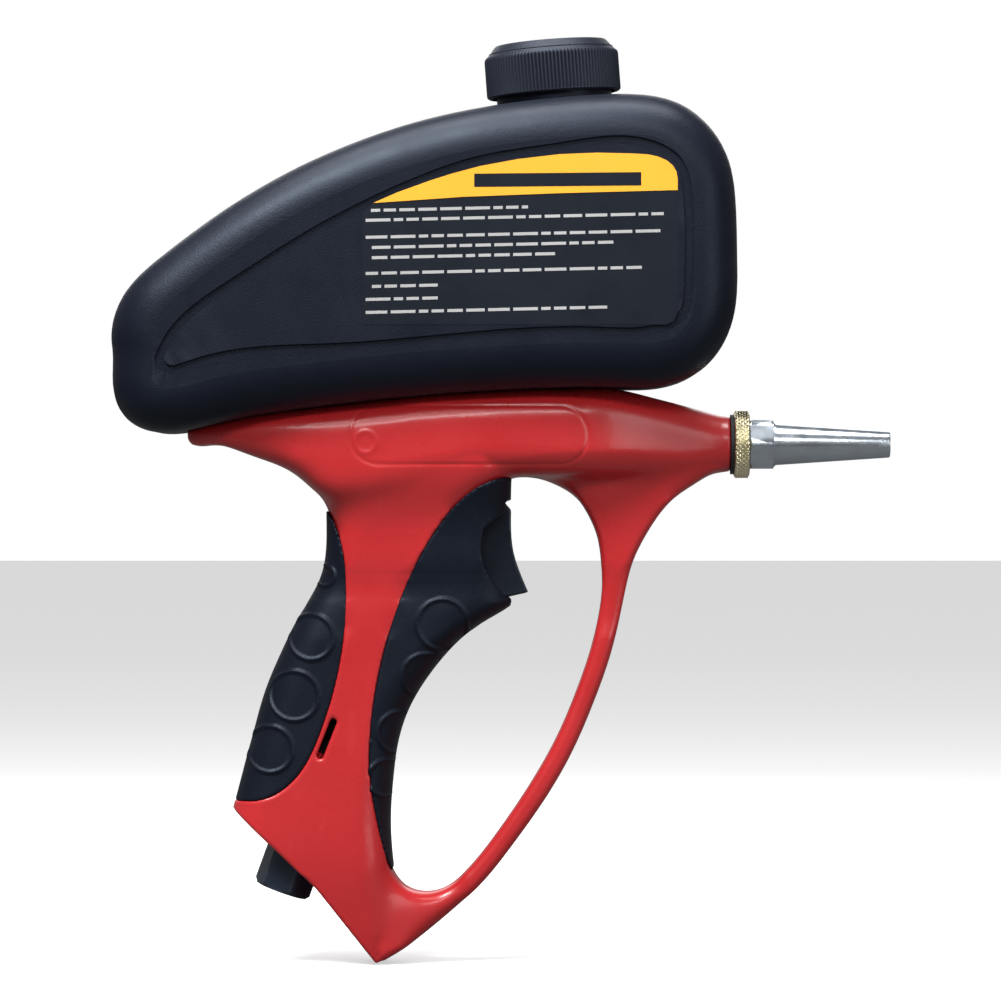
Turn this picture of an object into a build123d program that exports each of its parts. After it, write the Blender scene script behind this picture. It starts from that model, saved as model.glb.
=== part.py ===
from build123d import *
import math
import os

# Gravity-feed abrasive blasting gun. Millimetres, +Z up, nozzle towards +X, y = 0 is the mould split.
# The origin is the centre of the air inlet's mouth.

# ---- Main frame ----
HANDLE_TILT = 20.0          # handle and air inlet lean back from vertical, degrees
NOZZLE_Z = 147.5            # height of the nozzle's axis
FIT = 0.08                  # radial running clearance
GRIP_SKIN = 2.5             # rubber grips are let into the handle by this much
SHELL_WALL = 2.5            # wall of the moulded body halves

# ---- Handle: horizontal sections (z, rear x, front x, half width) ----
HANDLE_LOW = [
    (-26.0, -16.0, 40.0, 12.0),
    (-13.0, -18.0, 39.0, 15.0),
    (0.0, -19.0, 38.2, 17.0),
    (13.5, -18.4, 36.7, 18.0),
    (26.8, -15.8, 36.3, 18.0),
    (36.7, -13.2, 37.0, 18.0),
    (46.6, -10.6, 38.2, 18.0),
    (56.5, -7.9, 40.8, 18.0),
    (66.4, -5.0, 45.6, 18.0),
    (76.3, -1.0, 52.7, 18.0),
    (86.2, 3.6, 62.8, 18.0),
    (91.6, 6.6, 71.4, 18.0),
    (95.6, 9.0, 77.0, 18.0),
]
HANDLE_HIGH = [
    (95.6, 9.0, 77.0, 18.0),
    (106.0, 13.9, 76.4, 18.2),
    (116.0, 15.2, 76.0, 18.9),
    (126.0, 15.2, 75.9, 20.6),
    (132.0, 15.2, 76.0, 22.8),
    (138.0, 15.2, 76.2, 24.8),
    (146.0, 15.2, 76.6, 25.6),
]
HANDLE_CORNER = 12.0
FOOT_CUT = [(-14.0, 26.6), (12.2, 1.8), (31.7, -23.1)]      # the foot is cut along these lines
FOOT_FRONT = (57.8, -5.5)                       # front end of the foot's lower edge

# ---- Upper body: sections along x (x, bottom z, top z, half width, corner radius) ----
UPPER_BODY = [
    (-30.4, 149.6, 152.5, 9.0, 1.2),
    (-23.0, 147.3, 154.1, 16.0, 3.0),
    (-10.0, 144.0, 156.7, 21.5, 5.5),
    (-2.6, 141.4, 157.9, 23.5, 7.0),
    (6.6, 136.5, 158.9, 25.0, 8.0),
    (14.0, 130.0, 159.8, 25.6, 9.0),
    (28.0, 128.0, 161.4, 26.0, 10.0),
    (45.0, 131.5, 163.4, 26.0, 10.0),
    (62.0, 136.4, 164.6, 26.0, 10.0),
    (78.0, 136.8, 165.4, 25.6, 10.0),
    (96.0, 136.8, 165.8, 24.0, 10.0),
    (110.0, 136.8, 165.6, 20.8, 10.0),
    (122.0, 136.6, 163.0, 16.4, 9.8),
    (134.0, 136.6, 160.0, 12.6, 9.6),
    (142.0, 137.6, 157.8, 10.3, 9.4),
    (148.4, 138.35, 156.65, 9.15, 9.0),
]

# ---- Trigger guard loop ----
GUARD_EDGE = 2.8
GUARD_SECTIONS = [          # (outer edge, inner edge, half width) down the loop
    ((145.5, 139.4), (80.0, 138.6), 7.8),
    ((141.0, 137.3), (86.0, 136.2), 8.2),
    ((136.6, 134.4), (91.4, 133.9), 8.4),
    ((129.8, 129.8), (97.3, 130.2), 8.1),
    ((124.4, 123.8), (101.5, 124.2), 7.6),
    ((119.3, 115.6), (104.7, 116.2), 7.3),
    ((116.1, 108.7), (105.7, 109.3), 7.2),
    ((114.0, 101.1), (106.1, 102.0), 7.2),
    ((111.6, 89.6), (104.9, 91.0), 7.2),
    ((108.7, 78.0), (102.3, 80.0), 7.2),
    ((103.6, 63.5), (97.5, 66.0), 7.2),
    ((97.1, 48.2), (91.2, 51.2), 7.2),
    ((87.9, 31.7), (82.3, 35.4), 7.2),
    ((76.3, 15.2), (71.4, 19.4), 7.2),
    ((65.3, 1.8), (60.8, 6.4), 7.4),
    ((57.6, -5.3), (53.8, 0.9), 8.0),
    ((49.6, -12.0), (46.4, -0.3), 9.2),
    ((44.5, -15.9), (40.6, 2.0), 10.6),
    ((38.8, -19.6), (36.2, 8.4), 12.0),
    ((33.8, -22.4), (29.0, 10.0), 13.0),
]

# ---- Grips, as borders seen from the side ----
REAR_BORDER = [
    (8.0, 131.0), (15.4, 125.6), (19.2, 118.6), (21.8, 104.0), (21.5, 88.0), (19.0, 71.4),
    (13.5, 53.0), (8.6, 42.4), (4.3, 36.9), (-0.4, 33.2), (-6.0, 31.0), (-12.4, 30.4), (-26.0, 31.0),
]
FRONT_BORDER = [
    (80.0, 136.6), (66.4, 134.1), (57.8, 127.5), (50.2, 117.6), (43.0, 104.4), (36.7, 87.9),
    (32.4, 71.4), (30.0, 54.8), (29.6, 40.0), (31.7, 25.1), (34.6, 13.0), (37.6, 6.4), (44.0, 3.0),
]
HANG_SLOT = [(17.8, 56.5), (13.5, 45.6)]
HANG_SLOT_WIDTH = 2.3
HANG_SLOT_DEPTH = 6.0       # through the wall into the hollow
HANG_SLOT_FACE = 18.0        # the handle's side at the slot

# ---- Hopper ----
HOPPER_HALF = 38.0
HOPPER_EDGE = 14.0
HOPPER_WALL = 2.2
HOPPER_ARC_STEPS = 4         # sections in each rounded edge
HOPPER_LINE = [
    (-54.1, 179.3), (-53.4, 188.8), (-49.0, 197.9), (-37.8, 208.7), (-17.0, 224.0), (3.9, 236.3),
    (24.7, 245.6), (50.3, 253.8), (77.9, 258.9), (103.6, 261.3), (117.4, 261.4), (129.6, 258.9),
    (140.1, 251.4), (146.8, 240.1), (149.2, 225.7), (149.7, 207.0), (148.9, 190.8), (144.6, 179.1),
    (136.8, 170.7), (125.3, 166.4), (109.5, 165.9), (76.6, 165.2), (40.4, 162.6), (6.9, 158.8),
    (-16.8, 154.9), (-32.6, 151.5), (-42.1, 151.7), (-49.8, 156.2), (-53.7, 165.6),
]
GROOVE_WIDTH = 3.0
GROOVE_DEPTH = 1.0
GROOVE_LINE = [
    (-39.3, 175.6), (-34.8, 184.3), (-13.2, 201.7), (5.0, 213.4), (40.0, 231.5), (66.1, 240.7),
    (91.8, 244.9), (120.6, 245.9), (131.1, 239.6), (134.7, 226.3), (134.8, 198.6), (132.2, 188.0),
    (122.0, 182.8), (104.7, 182.3), (17.3, 176.9), (-29.9, 170.7), (-36.8, 170.7),
]
SPOUT_X = 98.0
SPOUT_BOTTOM = 161.0
SPOUT_R = 11.0
SPOUT_BORE = 9.0
SPOUT_FLANGE_R = 13.0
SPOUT_FLANGE = 1.6

# ---- Filler neck and cap, on an axis that leans back with the hopper's top ----
CAP_LEAN = 4.3
CAP_FOOT = (90.2, 262.9)    # centre of the cap's lower rim
CAP_R = 22.15
CAP_SIDE = 13.2
CAP_TOP = 17.2
NECK_R = 19.0
NECK_WALL = 2.5
NECK_ROOT = -9.0            # the neck starts this far below the cap's lower rim
NECK_TOP = 13.0
LINER = 1.6

# ---- Label panels ----
LABEL_THICK = 0.3
LABEL_OUTLINE = [
    (27.9, 185.8), (127.4, 185.8), (129.8, 190.7), (129.8, 233.9), (126.9, 238.2), (117.1, 241.3),
    (91.6, 241.3), (66.1, 237.4), (49.5, 232.5), (30.9, 225.3), (27.9, 222.1),
]

# ---- Nozzle end ----
BOSS_END = 148.4
WASHER_R = 9.85
WASHER = 1.1
RING_R = 11.1
RING_LENGTH = 5.1
RING_GROOVES = 40
HEX_FLATS = 16.0
HEX_LENGTH = 8.0
HEX_GAP = 0.1               # free length between the lock ring and the hexagon
HEX_COLLAR_R = 7.3
HEX_COLLAR = 0.6
CONE_START_R = 6.85
CONE_END_R = 4.35
NOZZLE_TIP = 201.1
SHANK_R = 6.4
SHANK_START = 136.0
TIP_R = 3.0                 # ceramic insert
TIP_BORE = 2.0
TIP_FLANGE_R = 4.6
TIP_START = 133.0
TIP_FLANGE = 3.0
TIP_SETBACK = 0.5

# ---- Mixing chamber and air jet ----
CHAMBER_R = 6.3
CHAMBER_BORE = 4.8
CHAMBER_START = 70.0
SLEEVE_R = 8.0
SLEEVE_START = 128.0
PORT_R = 7.0
PORT_BORE = 4.5
PORT_TOP = 156.2
FUNNEL_R = 11.5
JET_R = 4.0
JET_BORE = 1.6
JET_START = 51.5
JET_END = 93.0
JET_HEAD_R = 5.5
JET_HEAD = 4.0

# ---- Air valve ----
VALVE_Z = 112.0
VALVE_START = 23.0
VALVE_END = 54.0
VALVE_R = 8.0
VALVE_BORE = 5.4
VALVE_FLOOR = 3.0
RISER_X = 47.0
RISER_R = 5.5
RISER_BORE = 3.0
CROSS_BORE = 3.4
TOP_TUBE_START = 41.0
TOP_TUBE_END = 60.0
TOP_TUBE_R = 7.5
SEAT_X = 41.5
SEAT = 2.5
SEAT_BORE = 3.4
POPPET_R = 4.6
POPPET = 2.5
STEM_R = 2.5
STEM_TIP = 63.7
STEM_DOME = 2.2
SPRING_R = 3.6
SPRING_WIRE = 0.9
SPRING_TURNS = 4
SPRING_START = 30.6
PLUG_START = 49.0
PLUG_HEAD_R = 7.0
PLUG_HEAD = 2.5

# ---- Air inlet, measured along the handle's axis from the mouth ----
INLET_FLATS = 17.0
INLET_HEX = 18.0
INLET_CHAMFER = 1.2
INLET_TURN = 18.0           # the hexagon's turn about the handle's axis, degrees
INLET_SHANK_R = 7.8
INLET_END = 31.0
INLET_THREAD_R = 5.9
INLET_THREAD = 15.0
INLET_BORE = 4.0
AIR_TUBE_R = 5.5
AIR_TUBE_BORE = 3.8
AIR_TUBE_START = 26.0
AIR_TUBE_END = 104.0
SOCKET_R = 7.4
SOCKET_START = 97.0
O_RING = 1.5

# ---- Trigger ----
PIVOT = (68.0, 130.5)
PIN_R = 1.5
PIN_HALF = 13.0
TRIGGER_HALF = 9.0
TRIGGER_HUB_R = 4.4
TRIGGER_SKIN = 2.4
TRIGGER_PAD = (108.5, 115.5, 3.0)       # pad's bottom z, top z and half width
POCKET_HALF = 9.6
POCKET_HUB_R = 5.2
TRIGGER_FRONT = [(76.0, 125.9), (76.0, 119.0), (76.8, 112.0), (78.6, 106.1), (81.6, 98.8)]
TRIGGER_HOLLOW = [
    (60.0, 94.0), (60.0, 123.5), (72.4, 123.5), (73.2, 112.0), (75.2, 104.0), (75.6, 100.2), (66.0, 99.8),
    (64.0, 94.0),
]
BAY_EDGE = [(77.0, 96.2), (75.0, 97.1), (70.6, 101.4), (68.0, 105.4), (66.4, 114.3), (67.0, 119.6)]
BAY_TOP = [(67.0, 119.6), (74.3, 125.5), (74.0, 128.9)]
BAY_FRONT = 84.0
POCKET_LINE = [(84.0, 94.8), (55.6, 94.8), (55.6, 118.0), (63.0, 131.0), (73.2, 130.5), (84.0, 126.0)]

# ---- Screws (x, z) ----
SCREWS = [
    (-9.0, 150.0), (31.0, 139.5), (117.0, 133.0), (119.0, 157.6), (21.5, 99.0), (50.0, 85.0), (25.0, 6.0),
]
SCREW_R = 1.6
SCREW_HEAD_R = 3.2
SCREW_HEAD = 2.4
SCREW_SEAT = 5.2
SCREW_END = -6.0
SCREW_SOCKET_FLATS = 2.5
SCREW_SOCKET = 1.4
BOSS_R = 4.9

# ---- Plates inside the halves that hold the tube, valve and chamber ----
CRADLE = 2.0
HANDLE_CRADLES = [46.0, 70.0, 90.0]         # distances along the handle's axis
UPPER_CRADLES = [27.0, 74.0, 108.0, 123.0]  # x positions


# ---------------------------------------------------------------- helpers
def side_plane():
    """Plane whose x is the frame's x and whose y is the frame's z; it looks towards -y."""
    return Plane(origin=(0, 0, 0), x_dir=(1, 0, 0), z_dir=(0, -1, 0))


def side_prism(face, half, other=None):
    """Prism of a side-view face between y = -half and y = other (or +half)."""
    far = half if other is None else other
    return Pos(0, far, 0) * extrude(side_plane() * face, amount=half + far)


def x_cylinder(radius, start, end, z, y=0.0):
    """Cylinder along x."""
    plane = Plane(origin=(start, y, z), x_dir=(0, 1, 0), z_dir=(1, 0, 0))
    return extrude(plane * Circle(radius), amount=end - start)


def y_cylinder(radius, start, end, x, z):
    """Cylinder along y."""
    plane = Plane(origin=(x, start, z), x_dir=(1, 0, 0), z_dir=(0, 1, 0))
    return extrude(plane * Circle(radius), amount=end - start)


def z_cylinder(radius, bottom, top, x):
    """Cylinder along z."""
    return extrude(Plane.XY.offset(bottom) * Pos(x, 0) * Circle(radius), amount=top - bottom)


def handle_plane(distance):
    """Plane across the handle's axis, at a distance above the inlet's mouth."""
    lean = math.radians(HANDLE_TILT)
    up = Vector(math.sin(lean), 0, math.cos(lean))
    return Plane(origin=up * distance, x_dir=(0, 1, 0), z_dir=up)


def handle_cylinder(radius, start, end):
    """Cylinder along the handle's axis."""
    return extrude(handle_plane(start) * Circle(radius), amount=end - start)


def cap_plane(height):
    """Plane across the cap's axis, at a height above the cap's lower rim."""
    lean = math.radians(CAP_LEAN)
    up = Vector(-math.sin(lean), 0, math.cos(lean))
    return Plane(origin=Vector(CAP_FOOT[0], 0, CAP_FOOT[1]) + up * height, x_dir=(0, 1, 0), z_dir=up)


def cap_cylinder(radius, start, end):
    """Cylinder along the cap's axis."""
    return extrude(cap_plane(start) * Circle(radius), amount=end - start)


def polygon_face(points):
    """Face bounded by straight lines."""
    return make_face(Polyline(*points, close=True))


def curve_face(curve_points, corner_points):
    """Face bounded by one spline and then straight lines through the corner points."""
    curve = Spline(*curve_points)
    back = Polyline(curve_points[-1], *corner_points, curve_points[0])
    return make_face(Curve() + [curve, back])


# ---------------------------------------------------------------- outer forms
def handle_section(z, rear, front, half, inset):
    """Rounded horizontal section of the handle."""
    length = front - rear - 2 * inset
    width = 2 * (half - inset)
    corner = min(HANDLE_CORNER, half - 0.5) - inset
    return Plane.XY.offset(z) * Pos((rear + front) / 2, 0) * RectangleRounded(length, width, corner)


def handle_form(inset=0.0):
    """Handle without the guard, shrunk by an inset."""
    low = loft([handle_section(*row, inset) for row in HANDLE_LOW])
    high = loft([handle_section(*row, inset) for row in HANDLE_HIGH])
    return low + high - foot_cutter(inset)


def foot_cutter(inset):
    """Everything below the foot's two slanted edges."""
    left_x, left_z = FOOT_CUT[0]
    right_x, right_z = FOOT_FRONT
    tip_z = FOOT_CUT[-1][1]
    drop = inset * 1.4
    points = [(left_x - 40.0, left_z + 39.0 + drop)]
    points += [(x, z + drop) for x, z in FOOT_CUT]
    points += [
        (right_x, right_z + drop), (right_x + 40.0, right_z + 30.0), (right_x + 40.0, tip_z - 60.0),
        (left_x - 40.0, tip_z - 60.0),
    ]
    return side_prism(polygon_face(points), 60.0)


def upper_section(x, bottom, top, half, corner, inset):
    """Rounded cross-section of the upper body."""
    plane = Plane(origin=(x, 0, (bottom + top) / 2), x_dir=(0, 1, 0), z_dir=(1, 0, 0))
    width = 2 * (half - inset)
    height = top - bottom - 2 * inset
    radius = min(corner, width / 2 - 0.1, height / 2 - 0.1)
    return plane * RectangleRounded(width, height, radius)


def upper_form(inset=0.0, first=0, last=None):
    """Saddle under the hopper that runs forward into the round nozzle boss."""
    return loft([upper_section(*row, inset) for row in UPPER_BODY[first:last]])


def guard_section(outer, inner, half):
    """Rounded section of the guard between two points of its side view."""
    width = math.dist(outer, inner)
    centre = ((outer[0] + inner[0]) / 2, 0, (outer[1] + inner[1]) / 2)
    across = Vector(outer[0] - inner[0], 0, outer[1] - inner[1])
    plane = Plane(origin=centre, x_dir=across, z_dir=across.cross(Vector(0, 1, 0)))
    return plane * RectangleRounded(width, 2 * half, GUARD_EDGE)


def guard_form():
    """Flat loop from the nozzle boss down to the handle's foot."""
    return loft([guard_section(*row) for row in GUARD_SECTIONS])


def body_form():
    """Whole outside of the moulded body with the grips' volume still in it."""
    form = handle_form() + upper_form() + guard_form()
    return form - hopper_form(0.0) - side_prism(bay_face(), 60.0)


def bay_face():
    """Opening in the handle's front that the trigger stands in."""
    curve = Spline(*BAY_EDGE)
    rest = Polyline(*BAY_TOP, (BAY_FRONT, BAY_TOP[-1][1]), (BAY_FRONT, BAY_EDGE[0][1]), BAY_EDGE[0])
    return make_face(Curve() + [curve, rest])


def pocket_form():
    """Slot behind the bay for the trigger's hub and swing."""
    slot = side_prism(polygon_face(POCKET_LINE), POCKET_HALF)
    return slot + y_cylinder(POCKET_HUB_R, -POCKET_HALF, POCKET_HALF, *PIVOT)


def grip_region(border, far_x):
    """Side-view prism between a grip's border and a far line."""
    corners = [(far_x, border[-1][1]), (far_x, border[0][1])]
    return side_prism(curve_face(border, corners), 60.0)


# ---------------------------------------------------------------- hopper
def shrunk_line(points, amount):
    """Closed side-view line moved inwards; the points run clockwise."""
    moved = []
    for index, (x, z) in enumerate(points):
        before = points[index - 1]
        after = points[(index + 1) % len(points)]
        along_x, along_z = after[0] - before[0], after[1] - before[1]
        length = math.hypot(along_x, along_z)
        moved.append((x + amount * along_z / length, z - amount * along_x / length))
    return moved


def hopper_section(y, amount):
    """Closed face of the hopper's outline at one y, moved inwards by an amount."""
    points = shrunk_line(HOPPER_LINE, amount)
    return Pos(0, y, 0) * (side_plane() * make_face(Spline(*points, periodic=True)))


def hopper_form(inset):
    """Solid pillow of the hopper, shrunk by an inset."""
    flat = HOPPER_HALF - HOPPER_EDGE
    radius = HOPPER_EDGE - inset
    sections = []
    for step in range(HOPPER_ARC_STEPS + 1):
        angle = math.pi / 2 * step / HOPPER_ARC_STEPS
        y = -flat - radius * math.sin(angle)
        sections.append(hopper_section(y, HOPPER_EDGE - radius * math.cos(angle)))
    edge = loft(sections)
    middle = extrude(hopper_section(flat, inset), amount=2 * flat, dir=(0, -1, 0))
    return middle + edge + mirror(edge, Plane.XZ)


def groove_ring():
    """Shallow moulded groove around the hopper's right side panel."""
    outer = make_face(Spline(*GROOVE_LINE, periodic=True))
    inner = make_face(Spline(*shrunk_line(GROOVE_LINE, GROOVE_WIDTH), periodic=True))
    depth = GROOVE_DEPTH - HOPPER_HALF
    ring = side_prism(outer, HOPPER_HALF + 1.0, depth)
    return ring - side_prism(inner, HOPPER_HALF + 2.0, depth + 1.0)


def build_hopper():
    """Hollow blow-moulded hopper with its filler neck and outlet spout."""
    shell = hopper_form(0.0) - groove_ring() - mirror(groove_ring(), Plane.XZ)
    shell += cap_cylinder(NECK_R, NECK_ROOT, NECK_TOP)
    shell += z_cylinder(SPOUT_R, SPOUT_BOTTOM, SPOUT_BOTTOM + 8.0, SPOUT_X)
    shell += z_cylinder(SPOUT_FLANGE_R, SPOUT_BOTTOM, SPOUT_BOTTOM + SPOUT_FLANGE, SPOUT_X)
    shell -= hopper_form(HOPPER_WALL)
    shell -= cap_cylinder(NECK_R - NECK_WALL, NECK_ROOT - 6.0, NECK_TOP + 1.0)
    shell -= z_cylinder(SPOUT_BORE, SPOUT_BOTTOM - 1.0, SPOUT_BOTTOM + 12.0, SPOUT_X)
    return shell


def build_hopper_cap():
    """Ribbed screw cap."""
    cap = cap_cylinder(CAP_R, 0.0, CAP_TOP)
    crown = cap.edges().filter_by(GeomType.CIRCLE).sort_by(Axis.Z)[-1]
    cap = chamfer(crown, CAP_TOP - CAP_SIDE)
    inside = cap_cylinder(NECK_R + FIT, -1.0, NECK_TOP + LINER)
    return cap - inside


def build_cap_liner():
    """Soft disc inside the cap that seals on the neck's rim."""
    return cap_cylinder(NECK_R - 0.4, NECK_TOP, NECK_TOP + LINER)


def build_label(side):
    """Flat label panel on one side of the hopper; side is -1 (right hand) or +1."""
    face = polygon_face(LABEL_OUTLINE)
    panel = side_prism(face, HOPPER_HALF + LABEL_THICK, -HOPPER_HALF)
    return panel if side < 0 else mirror(panel, Plane.XZ)


# ---------------------------------------------------------------- media and air path
def build_mixing_chamber():
    """Tube on the nozzle's axis with the media port on top and the nozzle's socket in front."""
    tube = x_cylinder(CHAMBER_R, CHAMBER_START, BOSS_END - 0.2, NOZZLE_Z)
    tube += x_cylinder(SLEEVE_R, SLEEVE_START, BOSS_END - 0.2, NOZZLE_Z)
    tube += z_cylinder(PORT_R, NOZZLE_Z, PORT_TOP, SPOUT_X)
    tube -= x_cylinder(CHAMBER_BORE, JET_END - 10.0, TIP_START + 0.5, NOZZLE_Z)
    tube -= x_cylinder(JET_R + FIT, CHAMBER_START - 1.0, JET_END, NOZZLE_Z)
    tube -= x_cylinder(SHANK_R + FIT, TIP_START, BOSS_END + 1.0, NOZZLE_Z)
    return tube - z_cylinder(PORT_BORE, NOZZLE_Z, PORT_TOP + 1.0, SPOUT_X)


def build_media_funnel():
    """Moulded funnel between the hopper's spout and the chamber's port."""
    top = SPOUT_BOTTOM - O_RING
    body = z_cylinder(FUNNEL_R, PORT_TOP, top, SPOUT_X)
    mouth = Plane.XY.offset(top + 0.01) * Pos(SPOUT_X, 0) * Circle(SPOUT_BORE)
    throat = Plane.XY.offset(PORT_TOP - 0.01) * Pos(SPOUT_X, 0) * Circle(PORT_BORE)
    return body - loft([throat, mouth])


def build_hopper_seal():
    """Flat ring squeezed under the spout."""
    ring = z_cylinder(SPOUT_R + 0.4, SPOUT_BOTTOM - O_RING, SPOUT_BOTTOM, SPOUT_X)
    return ring - z_cylinder(SPOUT_BORE, SPOUT_BOTTOM - 3.0, SPOUT_BOTTOM + 1.0, SPOUT_X)


def build_air_jet():
    """Brass jet that fires air through the mixing chamber."""
    jet = x_cylinder(JET_R, JET_START, JET_END - 2.0, NOZZLE_Z)
    jet += x_cylinder(JET_HEAD_R, TOP_TUBE_END, TOP_TUBE_END + JET_HEAD, NOZZLE_Z)
    taper_base = Plane(origin=(JET_END - 2.0, 0, NOZZLE_Z), x_dir=(0, 1, 0), z_dir=(1, 0, 0))
    taper_tip = Plane(origin=(JET_END, 0, NOZZLE_Z), x_dir=(0, 1, 0), z_dir=(1, 0, 0))
    jet += loft([taper_base * Circle(JET_R), taper_tip * Circle(JET_R - 1.4)])
    return jet - x_cylinder(JET_BORE, JET_START - 1.0, JET_END + 1.0, NOZZLE_Z)


def build_jet_o_ring():
    """Seal between the jet's shoulder and the chamber's rear end."""
    ring = x_cylinder(JET_HEAD_R, CHAMBER_START - O_RING, CHAMBER_START, NOZZLE_Z)
    return ring - x_cylinder(JET_R + FIT, CHAMBER_START - 4.0, CHAMBER_START + 1.0, NOZZLE_Z)


def build_valve_body():
    """Cast valve: spring chamber, riser and the socket that holds the jet."""
    body = x_cylinder(VALVE_R, VALVE_START, VALVE_END, VALVE_Z)
    body += z_cylinder(RISER_R, VALVE_Z, NOZZLE_Z, RISER_X)
    body += x_cylinder(TOP_TUBE_R, TOP_TUBE_START, TOP_TUBE_END, NOZZLE_Z)
    body += handle_cylinder(SOCKET_R, SOCKET_START, AIR_TUBE_END + 6.0)
    body -= x_cylinder(VALVE_BORE, VALVE_START + VALVE_FLOOR, VALVE_END + 1.0, VALVE_Z)
    body -= z_cylinder(RISER_BORE, VALVE_Z + 2.0, NOZZLE_Z + 1.0, RISER_X)
    body -= x_cylinder(CROSS_BORE, RISER_X - 4.5, TOP_TUBE_END, NOZZLE_Z)
    body -= x_cylinder(JET_R, JET_START, TOP_TUBE_END + 1.0, NOZZLE_Z)
    body -= handle_cylinder(AIR_TUBE_R, SOCKET_START - 1.0, AIR_TUBE_END)
    return body - handle_cylinder(AIR_TUBE_BORE, SOCKET_START, AIR_TUBE_END + 10.0)


def build_valve_seat():
    """Ring the poppet closes on."""
    return x_cylinder(VALVE_BORE, SEAT_X, SEAT_X + SEAT, VALVE_Z) - x_cylinder(
        SEAT_BORE, SEAT_X - 1.0, SEAT_X + SEAT + 1.0, VALVE_Z)


def build_valve_stem():
    """Push stem with its poppet and a domed tip for the trigger."""
    rod = x_cylinder(STEM_R, SEAT_X - POPPET - 3.0, STEM_TIP, VALVE_Z)
    tip = rod.edges().filter_by(GeomType.CIRCLE).sort_by(Axis.X)[-1]
    return fillet(tip, STEM_DOME) + x_cylinder(POPPET_R, SEAT_X - POPPET, SEAT_X, VALVE_Z)


def build_valve_spring():
    """Coil spring behind the poppet."""
    length = SEAT_X - POPPET - SPRING_START - 2 * SPRING_WIRE - 0.1
    pitch = length / SPRING_TURNS
    start = (SPRING_START + SPRING_WIRE, 0, VALVE_Z)
    path = Helix(pitch=pitch, height=length, radius=SPRING_R, center=start, direction=(1, 0, 0))
    section = Plane(origin=path @ 0, z_dir=path % 0) * Circle(SPRING_WIRE / 2)
    return sweep(section, path=path)


def build_valve_plug():
    """Gland nut that guides the stem out of the valve."""
    plug = x_cylinder(VALVE_BORE, PLUG_START, VALVE_END, VALVE_Z)
    plug += x_cylinder(PLUG_HEAD_R, VALVE_END, VALVE_END + PLUG_HEAD, VALVE_Z)
    return plug - x_cylinder(STEM_R + FIT, PLUG_START - 1.0, VALVE_END + 5.0, VALVE_Z)


def build_air_inlet_bushing():
    """Hexagonal bushing in the handle's foot with the air connection."""
    across_corners = INLET_FLATS / math.cos(math.pi / 6) / 2
    hexagon = RegularPolygon(across_corners, 6, rotation=INLET_TURN)
    body = extrude(handle_plane(0.0) * hexagon, amount=INLET_HEX)
    cone = loft([
        handle_plane(0.0) * Circle(across_corners - INLET_CHAMFER),
        handle_plane(INLET_CHAMFER) * Circle(across_corners),
    ]) + handle_cylinder(across_corners, INLET_CHAMFER, INLET_HEX)
    body = (body & cone) + handle_cylinder(INLET_SHANK_R, INLET_HEX, INLET_END)
    body -= handle_cylinder(INLET_THREAD_R, -1.0, INLET_THREAD)
    body -= handle_cylinder(INLET_BORE, INLET_THREAD - 1.0, AIR_TUBE_START)
    return body - handle_cylinder(AIR_TUBE_R, AIR_TUBE_START - O_RING, INLET_END + 1.0)


def build_inlet_o_ring():
    """Seal at the lower end of the handle's air tube."""
    ring = handle_cylinder(AIR_TUBE_R, AIR_TUBE_START - O_RING, AIR_TUBE_START)
    return ring - handle_cylinder(INLET_BORE, AIR_TUBE_START - 4.0, AIR_TUBE_START + 1.0)


def build_handle_air_tube():
    """Straight tube up the handle to the valve."""
    tube = handle_cylinder(AIR_TUBE_R, AIR_TUBE_START, AIR_TUBE_END)
    return tube - handle_cylinder(AIR_TUBE_BORE, AIR_TUBE_START - 1.0, AIR_TUBE_END + 1.0)


# ---------------------------------------------------------------- nozzle end
def build_nozzle():
    """Steel nozzle: shank, hexagon, thin collar and long taper, bored for the insert."""
    ring_end = BOSS_END + WASHER + RING_LENGTH
    hex_end = ring_end + HEX_LENGTH
    hex_plane = Plane(origin=(ring_end + HEX_GAP, 0, NOZZLE_Z), x_dir=(0, 1, 0), z_dir=(1, 0, 0))
    corner_r = HEX_FLATS / math.cos(math.pi / 6) / 2
    hexagon = extrude(hex_plane * RegularPolygon(corner_r, 6), amount=HEX_LENGTH - HEX_GAP)
    nozzle = hexagon + x_cylinder(SHANK_R, SHANK_START, ring_end + 1.0, NOZZLE_Z)
    nozzle += x_cylinder(HEX_COLLAR_R, hex_end, hex_end + HEX_COLLAR, NOZZLE_Z)
    base = Plane(origin=(hex_end + HEX_COLLAR - 0.1, 0, NOZZLE_Z), x_dir=(0, 1, 0), z_dir=(1, 0, 0))
    tip = Plane(origin=(NOZZLE_TIP, 0, NOZZLE_Z), x_dir=(0, 1, 0), z_dir=(1, 0, 0))
    nozzle += loft([base * Circle(CONE_START_R), tip * Circle(CONE_END_R)])
    nozzle -= x_cylinder(TIP_R + FIT, SHANK_START - 1.0, NOZZLE_TIP + 1.0, NOZZLE_Z)
    return nozzle


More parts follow.
